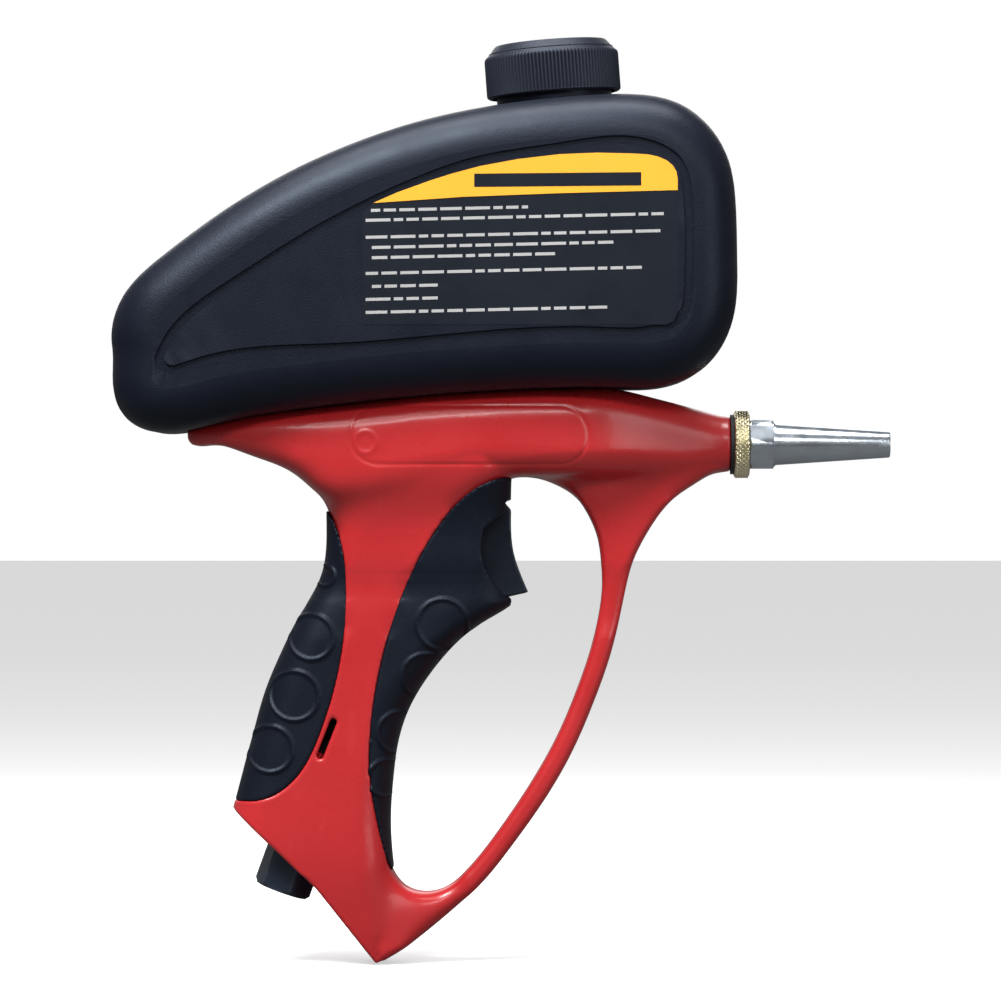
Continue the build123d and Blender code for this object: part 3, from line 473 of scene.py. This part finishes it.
def soften_junctions(mesh, side):
    """Runs the saddle, handle, boss, guard and foot smoothly together, with both halves still meeting."""
    points, edges = mesh_arrays(mesh)
    cut = (np.abs(points[:, 1]) < 0.6 * BODY_VOXEL) & (mesh_normals(mesh)[:, 1] * side < -0.8)
    weight = soft_weight(points, side)
    depth = points[:, 1].copy()
    edge = np.abs(depth) < 1.2 * BODY_VOXEL
    outside = edges[~cut[edges].any(axis=1)]
    points = relax(points, outside, np.where(cut, 0.0, weight), SOFT_ROUNDS)
    points[edge, 1] = depth[edge]
    points = relax(points, edges, np.where(cut, np.minimum(1.0, 3.0 * weight), 0.0), SEAM_ROUNDS)
    points[cut, 1] = depth[cut]
    write_points(mesh, points)


def smooth_belt(mesh):
    """Evens out the handle's sides, in width only, where its two forms join."""
    points, edges = mesh_arrays(mesh)
    weight = 1.0 - smooth_step(np.abs(points[:, 2] - BELT["z"]), BELT["core"], BELT["reach"])
    weight *= np.abs(mesh_normals(mesh)[:, 1]) > 0.3
    points[:, 1] = relax(points, edges, weight, BELT["rounds"])[:, 1]
    write_points(mesh, points)


def body_half(name, node, side, materials):
    """One red half: softened edges, the oval panel's fine line and a fine parting line."""
    mesh = remeshed(node, BODY_VOXEL, 20)
    soften_junctions(mesh, side)
    smooth_belt(mesh)
    points, _ = mesh_arrays(mesh)
    outward = mesh_normals(mesh)[:, 1] * side
    outer = smooth_step(outward, 0.25, 0.6) * (points[:, 1] * side > 10 * MM)
    reach = stadium_distance(points, PANEL["left"], PANEL["right"], PANEL["z"])
    line = np.exp(-((reach - PANEL["radius"]) / (0.6 * PANEL["width"])) ** 2)
    points[:, 1] -= side * PANEL["depth"] * line * outer
    mark = np.hypot(points[:, 0] - GATE_MARK["x"], points[:, 2] - GATE_MARK["z"])
    ring = np.exp(-((mark - GATE_MARK["radius"]) / (0.7 * MM)) ** 2)
    points[:, 1] += side * 0.22 * MM * ring * outer
    points[:, 1] = side * np.maximum(points[:, 1] * side, SEAM_GAP)
    write_points(mesh, points)
    piece = add_piece(name, mesh, materials["red"], "gun", (node,))
    # Painted shade: the body's faces in the trigger's bay take the trigger's dark material.
    paint_bay_shade(mesh, materials["trigger"])
    return piece


def paint_bay_shade(mesh, material):
    """Painted shade: the trigger's dark material on the body's faces inside the trigger's bay, standing in
    for the shade in the bay.
    """
    mesh.materials.append(material)
    centres = np.zeros(len(mesh.polygons) * 3)
    mesh.polygons.foreach_get("center", centres)
    x, z = centres[0::3], centres[2::3]
    # Faces that get the painted shade.
    inside = (x > BAY["rear"]) & (x < BAY["front"]) & (z > BAY["low"]) & (z < BAY["high"])
    mesh.polygons.foreach_set("material_index", inside.astype(np.int32))
    mesh.update()


def grip(name, node, rings, materials):
    """Rubber grip with raised circles."""
    mesh = remeshed(node, GRIP_VOXEL, 8)
    smooth_belt(mesh)
    points, _ = mesh_arrays(mesh)
    normals = mesh_normals(mesh)
    lift = np.zeros(len(points))
    for x, z, radius in rings:
        gap = np.abs(np.hypot(points[:, 0] - x * MM, points[:, 2] - z * MM) - radius * MM)
        lift = np.maximum(lift, 1.0 - smooth_step(gap, 0.25 * RING_LINE, RING_LINE))
    outward = smooth_step(normals[:, 1] * np.sign(points[:, 1]), 0.1, 0.35)
    points += normals * (RING_HEIGHT * lift * outward)[:, None]
    write_points(mesh, points)
    return add_piece(name, mesh, materials["rubber"], "gun", (node,))


def trigger(materials):
    """Trigger with rounded edges."""
    mesh = remeshed("trigger", TRIGGER_VOXEL, 12)
    return add_piece("trigger_lever", mesh, materials["trigger"], "trigger", ("trigger",))


# ---------------------------------------------------------------- cap and neck
def cap_frame():
    """Matrix of the cap's axis."""
    axis = (-math.sin(CAP_LEAN), 0.0, math.cos(CAP_LEAN))
    return axis_matrix(CAP_FOOT, axis)


def cap(materials):
    """Screw cap with fine ribs, a bevelled crown and a shallow dished top."""
    def ribbed(radius, depth):
        return lambda angle: radius - depth * (0.5 - 0.5 * math.cos(CAP_RIBS * angle)) ** 1.5

    edge = CAP_R - (CAP_TOP - CAP_SIDE)
    stations = [
        (0.0, CAP_BORE), (0.0, CAP_R - 0.7 * MM), (0.5 * MM, ribbed(CAP_R - 0.1 * MM, 0.3 * CAP_RIB)),
        (1.1 * MM, ribbed(CAP_R, CAP_RIB)), (CAP_SIDE - 0.9 * MM, ribbed(CAP_R, CAP_RIB)),
        (CAP_SIDE - 0.2 * MM, ribbed(CAP_R - 0.15 * MM, 0.4 * CAP_RIB)),
        (CAP_SIDE + 0.2 * MM, CAP_R - 0.5 * MM),
        (CAP_SIDE + 1.6 * MM, edge + 2.0 * MM), (CAP_TOP - 0.6 * MM, edge + 0.7 * MM), (CAP_TOP, edge),
        (CAP_TOP, edge - 1.6 * MM), (CAP_TOP - 0.5 * MM, edge - 2.2 * MM), (CAP_TOP - 0.5 * MM, 6.0 * MM),
        (CAP_TOP - 0.5 * MM, 0.2 * MM), (14.8 * MM, 0.2 * MM), (14.8 * MM, CAP_BORE),
    ]
    mesh = lathe("screw_cap", stations, cap_frame(), CAP_RIBS * 6)
    return add_piece("screw_cap", mesh, materials["cap"], "cap", ("hopper_cap",))


def helix_ridge(name, matrix, radius, height, start, pitch, turns, width, material, body):
    """Thread ridge wound round a cylinder."""
    steps = int(turns * 72)
    rings = []
    for index in range(steps + 1):
        angle = 2 * math.pi * turns * index / steps
        fade = min(1.0, index / 18.0, (steps - index) / 18.0)
        rise = start + pitch * angle / (2 * math.pi)
        top = radius + height * fade
        root = radius - 0.1 * MM
        section = [(root, -width / 2), (top, -width / 5), (top, width / 5), (root, width / 2)]
        rings.append([matrix @ Vector((r * math.cos(angle), r * math.sin(angle), rise + z))
                      for r, z in section])
    mesh = grid_mesh(name, rings, closed=False, cap_ends=True)
    return add_piece(name, mesh, material, body)


# ---------------------------------------------------------------- nozzle end
def hexagon(flats, corner_limit, turn=0.0):
    """Radius of a hexagon at an angle, with its corners cut to a limit."""
    def reach(angle):
        folded = (angle - turn + math.pi / 6) % (math.pi / 3) - math.pi / 6
        return min(flats / 2 / math.cos(folded), corner_limit)
    return reach


def nozzle(materials):
    """Steel nozzle: threaded shank, chamfered hexagon, collar and long taper."""
    corner = HEX_FLATS / 2 / math.cos(math.pi / 6)
    hex_bevel = 0.9 * MM
    chamfered = hexagon(HEX_FLATS, corner - hex_bevel)
    full = hexagon(HEX_FLATS, corner)
    stations = [
        (SHANK_START, BORE_R), (SHANK_START, SHANK_R - 0.6 * MM), (SHANK_START + 0.6 * MM, SHANK_R),
        (HEX_START, SHANK_R), (HEX_START, HEX_FLATS / 2 - 0.3 * MM), (HEX_START + 0.1 * MM, chamfered),
        (HEX_START + 0.7 * MM, full), (HEX_END - 0.7 * MM, full), (HEX_END - 0.1 * MM, chamfered),
        (HEX_END, HEX_FLATS / 2 - 0.25 * MM), (HEX_END + 0.05 * MM, 7.3 * MM),
        (HEX_END + 0.55 * MM, 7.3 * MM),
        (HEX_END + 0.65 * MM, 6.85 * MM), (NOZZLE_TIP - 0.5 * MM, 4.36 * MM),
        (NOZZLE_TIP - 0.12 * MM, 4.25 * MM),
        (NOZZLE_TIP, 3.95 * MM), (NOZZLE_TIP, BORE_R + 0.15 * MM), (NOZZLE_TIP - 0.2 * MM, BORE_R),
    ]
    matrix = axis_matrix((0, 0, NOZZLE_Z), (1, 0, 0))
    mesh = lathe("steel_nozzle", stations, matrix, 192)
    piece = add_piece("steel_nozzle", mesh, materials["steel"], "nozzle", ("nozzle",))
    helix_ridge("nozzle_thread", matrix, SHANK_R - 0.32 * MM, 0.38 * MM,
                SHANK_START + 1.2 * MM, 1.5 * MM, 7.5,
                1.3 * MM, materials["steel"], "nozzle")
    return piece


def lock_ring(materials):
    """Brass ring with a real diamond knurl between two plain shoulders."""
    def knurl(height):
        def reach(angle):
            turn = RING_KNURLS * angle
            shift = 2 * math.pi * height / KNURL_PITCH
            first = 0.5 + 0.5 * math.cos(turn + shift)
            second = 0.5 + 0.5 * math.cos(turn - shift)
            return RING_R - KNURL_DEPTH * max(first, second) ** 2
        return reach

    inner = SHANK_R + 0.08 * MM
    stations = [(RING_START, inner), (RING_START, RING_R - 0.9 * MM),
                (RING_START + 0.35 * MM, RING_R - 0.35 * MM)]
    rows = 30
    low, high = RING_START + 0.45 * MM, RING_END - 0.45 * MM
    for row in range(rows + 1):
        height = low + (high - low) * row / rows
        stations.append((height, knurl(height)))
    stations += [(RING_END - 0.35 * MM, RING_R - 0.35 * MM), (RING_END, RING_R - 0.9 * MM), (RING_END, inner)]
    matrix = axis_matrix((0, 0, NOZZLE_Z), (1, 0, 0))
    mesh = lathe("knurled_ring", stations, matrix, RING_KNURLS * 10)
    return add_piece("knurled_ring", mesh, materials["brass"], "lock_ring", ("lock_ring",))


def inlet_bushing(materials):
    """Black hexagonal inlet with a chamfered mouth and a stepped bore."""
    corner = INLET_FLATS / 2 / math.cos(math.pi / 6)
    axis = Vector((math.sin(HANDLE_LEAN), 0, math.cos(HANDLE_LEAN)))
    chamfered = hexagon(INLET_FLATS, corner - 1.2 * MM, INLET_TURN)
    full = hexagon(INLET_FLATS, corner, INLET_TURN)
    stations = [
        (0.9 * MM, 5.9 * MM), (0.0, 6.7 * MM), (0.0, INLET_FLATS / 2 - 0.9 * MM), (0.25 * MM, chamfered),
        (1.5 * MM, full), (INLET_HEX, full), (INLET_HEX, 7.8 * MM),
        (31.0 * MM, 7.8 * MM), (31.0 * MM, 5.6 * MM),
        (24.5 * MM, 5.6 * MM), (24.5 * MM, 4.0 * MM), (15.0 * MM, 4.0 * MM), (15.0 * MM, 5.9 * MM),
    ]
    matrix = axis_matrix((0, 0, 0), axis) @ Matrix.Rotation(math.radians(90), 4, "Z")
    mesh = lathe("inlet_hexagon", stations, matrix, 144)
    return add_piece("inlet_hexagon", mesh, materials["black_metal"], "gun",
                     ("air_inlet_bushing",))


# ---------------------------------------------------------------- labels
def film(outline, side, base, thickness):
    """Thin closed plate over a side-view outline, in millimetres."""
    count = len(outline)
    near = [(x * MM, side * (LABEL_Y + base), z * MM) for x, z in outline]
    far = [(x * MM, side * (LABEL_Y + base + thickness), z * MM) for x, z in outline]
    faces = [tuple(range(count)), tuple(range(count, 2 * count))]
    faces += [(i, (i + 1) % count, count + (i + 1) % count, count + i) for i in range(count)]
    return near + far, faces


def film_mesh(name, outlines, side, base, thickness):
    """Mesh of several plates."""
    points, faces = [], []
    for outline in outlines:
        some, more = film(outline, side, base, thickness)
        faces += [tuple(index + len(points) for index in face) for face in more]
        points += some
    mesh = bpy.data.meshes.new(name)
    mesh.from_pydata(points, [], faces)
    mesh.update()
    work = bmesh.new()
    work.from_mesh(mesh)
    bmesh.ops.recalc_face_normals(work, faces=work.faces)
    work.to_mesh(mesh)
    work.free()
    return mesh


def text_bars():
    """Plain bars where the small print would be: rows of short and long strokes, no letters."""
    bars = []
    for row, (z, start, end) in enumerate(BAR_ROWS):
        x = start
        word = 0
        while x < end - 2.0:
            right = min(x + 3.0 + (row * 5 + word * 7) % 6, end)
            low = z + (x - start) * BAR_RISE - BAR_HALF
            high = z + (right - start) * BAR_RISE - BAR_HALF
            bars.append([(x, low), (right, high), (right, high + 2 * BAR_HALF), (x, low + 2 * BAR_HALF)])
            x = right + BAR_GAP
            word += 1
    return bars


def label(side, node, materials):
    """Generic label: a yellow band over a dark field with plain bars."""
    tag = "right" if side < 0 else "left"
    field = film_mesh("label_field_" + tag, [FIELD], side, 0.0, LABEL_FILM)
    piece = add_piece("label_field_" + tag, field, materials["film_dark"], "gun", (node,))
    band = film_mesh("label_band_" + tag, [BAND_BOTTOM + BAND_TOP], side, 0.0, LABEL_FILM + LABEL_PRINT)
    add_piece("label_band_" + tag, band, materials["film_yellow"], "gun")
    plate = film_mesh("label_title_" + tag, [TITLE], side, LABEL_FILM, 2 * LABEL_PRINT)
    add_piece("label_title_" + tag, plate, materials["film_dark"], "gun")
    bars = film_mesh("label_bars_" + tag, text_bars(), side, LABEL_FILM, LABEL_PRINT)
    add_piece("label_bars_" + tag, bars, materials["film_white"], "gun")
    return piece


# ---------------------------------------------------------------- CAD nodes that stay
def dress_nodes(materials):
    """Gives every CAD node that stays its own finish."""
    finish = {
        "hopper": "hopper", "cap_liner": "foam", "hopper_seal": "seal", "media_funnel": "nylon",
        "mixing_chamber": "zinc", "air_jet": "brass", "jet_o_ring": "seal", "valve_body": "zinc",
        "valve_seat": "seal", "valve_stem": "steel", "valve_spring": "spring", "valve_plug": "brass",
        "handle_air_tube": "nylon", "inlet_o_ring": "seal", "ceramic_nozzle": "ceramic",
        "nozzle_washer": "seal", "trigger_pin": "steel", "body_screws": "steel",
    }
    for node, name in finish.items():
        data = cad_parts[node].data
        data.materials.clear()
        data.materials.append(materials[name])


# ---------------------------------------------------------------- studio
def area_light(name, place, aim, size, power):
    """Soft rectangular light."""
    data = bpy.data.lights.new(name, "AREA")
    data.shape = "RECTANGLE"
    data.size, data.size_y = size
    data.energy = power
    light = bpy.data.objects.new(name, data)
    light.location = place
    light.rotation_euler = (Vector(aim) - Vector(place)).to_track_quat("-Z", "Y").to_euler()
    bpy.context.scene.collection.objects.link(light)


def studio():
    """Pale flat floor that hides nothing from any side, soft lights and the camera."""
    low = cad_box_low_z() - FLOOR_GAP
    corners = [(x * FLOOR_HALF, y * FLOOR_HALF, low) for x, y in ((-1, -1), (1, -1), (1, 1), (-1, 1))]
    mesh = bpy.data.meshes.new("floor")
    mesh.from_pydata(corners, [], [(0, 1, 2, 3)])
    mesh.materials.append(floor_material())
    floor = bpy.data.objects.new("floor", mesh)
    bpy.context.scene.collection.objects.link(floor)
    studio_world()
    for name, place, size, power in LIGHTS:
        area_light(name, place, LIGHT_AIM, size, power)

    data = bpy.data.cameras.new("camera")
    data.sensor_width = SENSOR
    data.lens = SENSOR * CAMERA_DISTANCE / VIEW_WIDTH
    data.clip_start = CAMERA_NEAR
    camera = bpy.data.objects.new("camera", data)
    camera.location = CAMERA_AIM + Vector((0.0, -CAMERA_DISTANCE, 0.0))
    camera.rotation_euler = (math.pi / 2, 0.0, 0.0)
    bpy.context.scene.collection.objects.link(camera)
    bpy.context.scene.camera = camera
    bpy.context.scene.view_settings.view_transform = "Standard"


def camera_or_light(tree, seen, given):
    """One strength where the camera looks straight at it and another where it lights the object."""
    path = tree.nodes.new("ShaderNodeLightPath")
    return ramp(tree, path.outputs["Is Camera Ray"], 0.0, 1.0, given, seen)


def floor_material():
    """Pale matt floor that keeps the object's shadow."""
    material, tree, shader = new_material("floor")
    seen = camera_or_light(tree, 1.0, 0.0)
    pale = mix_colour(tree, seen, FLOOR_LIT, FLOOR_SEEN)
    tree.links.new(pale, shader.inputs["Base Color"])
    shader.inputs["Roughness"].default_value = 0.9
    shader.inputs["Specular IOR Level"].default_value = 0.1
    shader.inputs["Emission Color"].default_value = (1.0, 1.0, 1.0, 1.0)
    tree.links.new(camera_or_light(tree, 0.55, 0.02), shader.inputs["Emission Strength"])
    return material


def studio_world():
    """White surround that lights the object softly."""
    world = bpy.data.worlds.new("studio")
    world.use_nodes = True
    tree = world.node_tree
    background = tree.nodes["Background"]
    background.inputs["Color"].default_value = (1.0, 1.0, 1.0, 1.0)
    tree.links.new(camera_or_light(tree, 1.0, 0.22), background.inputs["Strength"])
    bpy.context.scene.world = world


def cad_box_low_z():
    """Lowest point of the CAD model."""
    return cad_box[0][2]


def main():
    """Builds every piece."""
    materials = make_materials()
    dress_nodes(materials)
    body_half("body_right", "body_shell_right", -1, materials)
    body_half("body_left", "body_shell_left", 1, materials)
    grip("grip_rear", "rear_grip", REAR_RINGS, materials)
    grip("grip_front", "front_grip", FRONT_RINGS, materials)
    trigger(materials)
    cap(materials)
    helix_ridge("neck_thread", cap_frame(), NECK_R, THREAD, 4.0 * MM, 6.0 * MM, 1.2, 2.4 * MM,
                materials["hopper"], "gun")
    nozzle(materials)
    lock_ring(materials)
    inlet_bushing(materials)
    label(-1, "label_right", materials)
    label(1, "label_left", materials)
    studio()


main()
